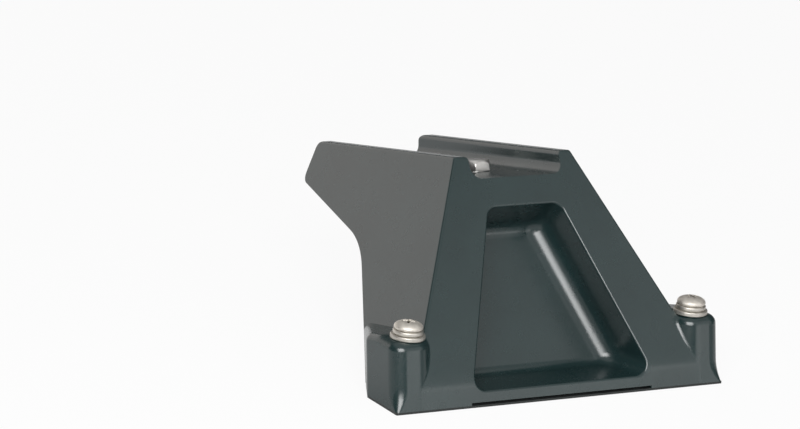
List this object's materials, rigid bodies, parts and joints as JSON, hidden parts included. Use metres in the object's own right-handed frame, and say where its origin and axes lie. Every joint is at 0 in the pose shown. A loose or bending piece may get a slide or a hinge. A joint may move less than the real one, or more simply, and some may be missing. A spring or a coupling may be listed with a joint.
{
  "type": "roof bar foot",
  "caption": "Moulded foot that carries a roof bar: tapered leg with a front pocket, a lipped saddle on a leaning arm, end blocks with roof screws and a thin rubber pad.",
  "frame": {"origin": "midway between the two roof screws, on the underside of the pad", "axes": "+X along the row of roof screws, +Y inboard along the bar, +Z away from the roof, along the screws; the bar's channel falls 12 degrees towards +Y in this frame"},
  "size_m": [0.1332, 0.1377, 0.083],
  "materials": {
    "leg_plastic": "satin moulded, fine grain",
    "pad_rubber": "matte",
    "sleeve_steel": "turned",
    "screw_steel": "stainless, polished",
    "bolt_steel": "stainless, plain"
  },
  "bodies": {
    "root": {"leg_body": "leg_plastic", "base_pad": "pad_rubber", "sleeve_left": "sleeve_steel", "sleeve_right": "sleeve_steel", "flat_washer_left": "screw_steel", "flat_washer_right": "screw_steel", "spring_washer_left": "screw_steel", "spring_washer_right": "screw_steel", "roof_screw_left": "screw_steel", "roof_screw_right": "screw_steel", "bar_bolt_outer": "bolt_steel", "bar_bolt_inner": "bolt_steel", "bar_flat_washer_outer": "bolt_steel", "bar_flat_washer_inner": "bolt_steel", "bar_spring_washer_outer": "bolt_steel", "bar_spring_washer_inner": "bolt_steel", "bar_nut_outer": "bolt_steel", "bar_nut_inner": "bolt_steel"}
  },
  "joints": []
}
